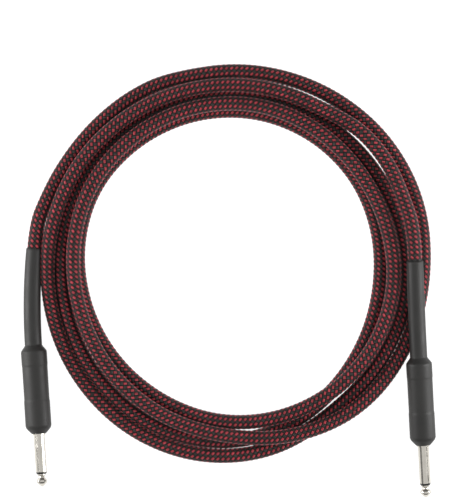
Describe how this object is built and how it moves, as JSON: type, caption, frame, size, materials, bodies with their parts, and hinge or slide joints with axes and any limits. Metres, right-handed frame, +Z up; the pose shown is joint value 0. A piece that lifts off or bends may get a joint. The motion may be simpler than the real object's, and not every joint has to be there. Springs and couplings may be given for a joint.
{
  "type": "instrument cable",
  "caption": "Coiled instrument cable in a flecked woven braid, with a straight quarter-inch mono plug in a long heat-shrink strain relief at each end.",
  "frame": {"origin": "on the surface the cable lies on, under the middle of the box round its two plugs", "axes": "+X from plug A to plug B across the coil, +Y from the plug tips towards the far side of the coil, +Z up"},
  "size_m": [0.2364, 0.2481, 0.0216],
  "materials": {
    "nickel_plate": "bright nickel plate",
    "black_insulator": "moulded, satin",
    "tinned_brass": "tinned, dull",
    "solder": "bright solder",
    "clear_liner": "milky, smooth",
    "heat_shrink": "matte, charcoal",
    "braided_cable": "flexible cable under a woven black and red braid",
    "braid": "woven braid, black with red flecks",
    "black_jacket": "smooth, matte",
    "copper": "bare copper strands",
    "white_dielectric": "smooth"
  },
  "bodies": {
    "root": {"cable_coil": "braided_cable", "cable_tail_a": "braided_cable", "cable_tail_b": "braided_cable"},
    "plug_a": {"tip_contact_a": "nickel_plate", "tip_insulator_a": "black_insulator", "sleeve_contact_a": "nickel_plate", "ground_lug_a": "tinned_brass", "rear_insulator_a": "black_insulator", "tip_lug_a": "tinned_brass", "tip_solder_a": "solder", "ground_solder_a": "solder", "barrel_liner_a": "clear_liner", "barrel_shell_a": "nickel_plate", "heat_shrink_a": "heat_shrink", "cable_end_a": "braided_cable", "braid_end_a": "braid", "jacket_end_a": "black_jacket", "shield_end_a": "copper", "inner_jacket_end_a": "black_jacket", "dielectric_end_a": "white_dielectric", "conductor_end_a": "copper"},
    "plug_b": {"tip_contact_b": "nickel_plate", "tip_insulator_b": "black_insulator", "sleeve_contact_b": "nickel_plate", "ground_lug_b": "tinned_brass", "rear_insulator_b": "black_insulator", "tip_lug_b": "tinned_brass", "tip_solder_b": "solder", "ground_solder_b": "solder", "barrel_liner_b": "clear_liner", "barrel_shell_b": "nickel_plate", "heat_shrink_b": "heat_shrink", "cable_end_b": "braided_cable", "braid_end_b": "braid", "jacket_end_b": "black_jacket", "shield_end_b": "copper", "inner_jacket_end_b": "black_jacket", "dielectric_end_b": "white_dielectric", "conductor_end_b": "copper"}
  },
  "joints": [
    {"name": "plug_a_flex", "type": "hinge", "parent": "root", "child": "plug_a", "pos_m": [-0.11183, 0.04319, 0.0074], "axis": [0, 0, -1], "range_deg": [-8, 25], "stiffness_Nm_per_rad": 0.1, "deforming": ["heat_shrink_a", "cable_end_a"]},
    {"name": "plug_b_flex", "type": "hinge", "parent": "root", "child": "plug_b", "pos_m": [0.10683, 0.03627, 0.0139], "axis": [0, 0, 1], "range_deg": [-4, 25], "stiffness_Nm_per_rad": 0.1, "deforming": ["heat_shrink_b", "cable_end_b"]}
  ]
}
